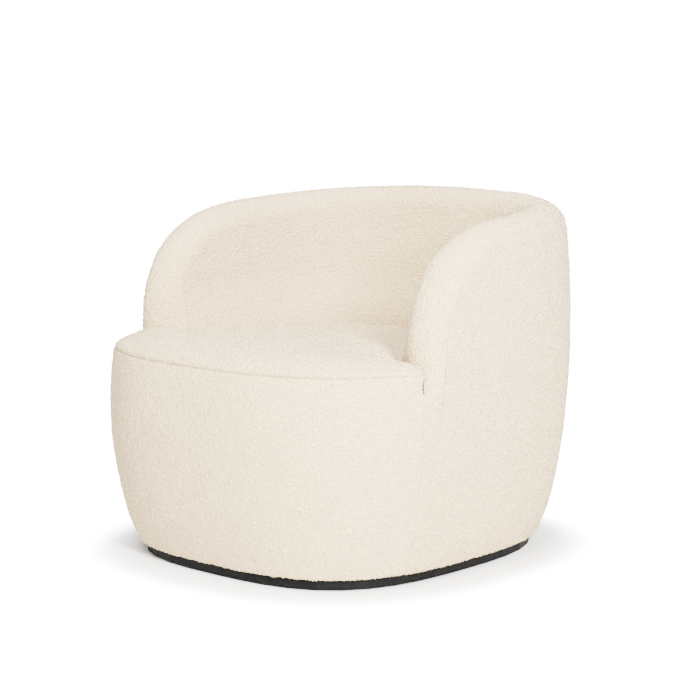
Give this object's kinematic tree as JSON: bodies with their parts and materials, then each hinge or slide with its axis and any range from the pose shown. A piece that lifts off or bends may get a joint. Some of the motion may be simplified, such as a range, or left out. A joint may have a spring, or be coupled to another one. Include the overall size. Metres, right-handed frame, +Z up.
{
  "type": "upholstered swivel armchair",
  "caption": "Rounded-square upholstered tub armchair in cream looped fabric, wrap-around back and arms, turning on a low base hidden by a recessed black plinth skirt.",
  "frame": {"origin": "on the floor under the swivel axis, in the middle of the round base", "axes": "+Z up along the swivel axis, -Y to the front of the seat, +X to the sitter's left"},
  "size_m": [0.8188, 0.8643, 0.701],
  "materials": {
    "boucle": "cream looped boucle",
    "foam": "upholstery foam",
    "felt": "grey felt",
    "lining": "black non-woven lining",
    "birch": "raw birch plywood",
    "black_lacquer": "satin black lacquered board",
    "zinc_steel": "zinc-plated steel",
    "spring_steel": "oiled spring steel wire"
  },
  "bodies": {
    "base": {"floor_pad": "felt", "base_disc": "black_lacquer", "swivel_lower_plate": "zinc_steel", "swivel_pin": "zinc_steel", "base_screw_1": "zinc_steel", "base_screw_2": "zinc_steel", "base_screw_3": "zinc_steel", "base_screw_4": "zinc_steel"},
    "bearing": {"ball_cage": "zinc_steel"},
    "seat_body": {"apron_cover": "boucle", "apron_foam": "foam", "arm_foam_left": "foam", "arm_foam_right": "foam", "arm_post_left": "birch", "arm_post_right": "birch", "back_foam": "foam", "back_rib_centre": "birch", "back_rib_left": "birch", "back_rib_right": "birch", "bottom_frame": "birch", "corner_rib_left": "birch", "corner_rib_right": "birch", "dust_cover": "lining", "front_rib_centre": "birch", "front_rib_left": "birch", "front_rib_right": "birch", "front_swivel_rail": "birch", "inside_arm_cover_left": "boucle", "inside_arm_cover_right": "boucle", "inside_back_cover": "boucle", "outside_arm_cover_left": "boucle", "outside_arm_cover_right": "boucle", "outside_back_cover": "boucle", "plate_bolt_1": "zinc_steel", "plate_bolt_2": "zinc_steel", "plate_bolt_3": "zinc_steel", "plate_bolt_4": "zinc_steel", "plinth_skirt": "black_lacquer", "rear_swivel_rail": "birch", "seat_cover": "boucle", "seat_foam": "foam", "seat_frame": "birch", "seat_spring_1": "spring_steel", "seat_spring_2": "spring_steel", "seat_spring_3": "spring_steel", "seat_spring_4": "spring_steel", "seat_spring_5": "spring_steel", "side_rib_left": "birch", "side_rib_right": "birch", "spring_pad": "felt", "swivel_upper_plate": "zinc_steel", "top_rail": "birch"}
  },
  "joints": [
    {"name": "swivel", "type": "hinge", "parent": "base", "child": "seat_body", "pos_m": [0, 0, 0.034], "axis": [0, 0, 1], "continuous": true},
    {"name": "cage_turn", "type": "hinge", "parent": "base", "child": "bearing", "pos_m": [0, 0, 0.027], "axis": [0, 0, 1], "continuous": true}
  ],
  "couplings": [
    {"joint": "cage_turn", "follows": "swivel", "ratio": 0.5}
  ]
}
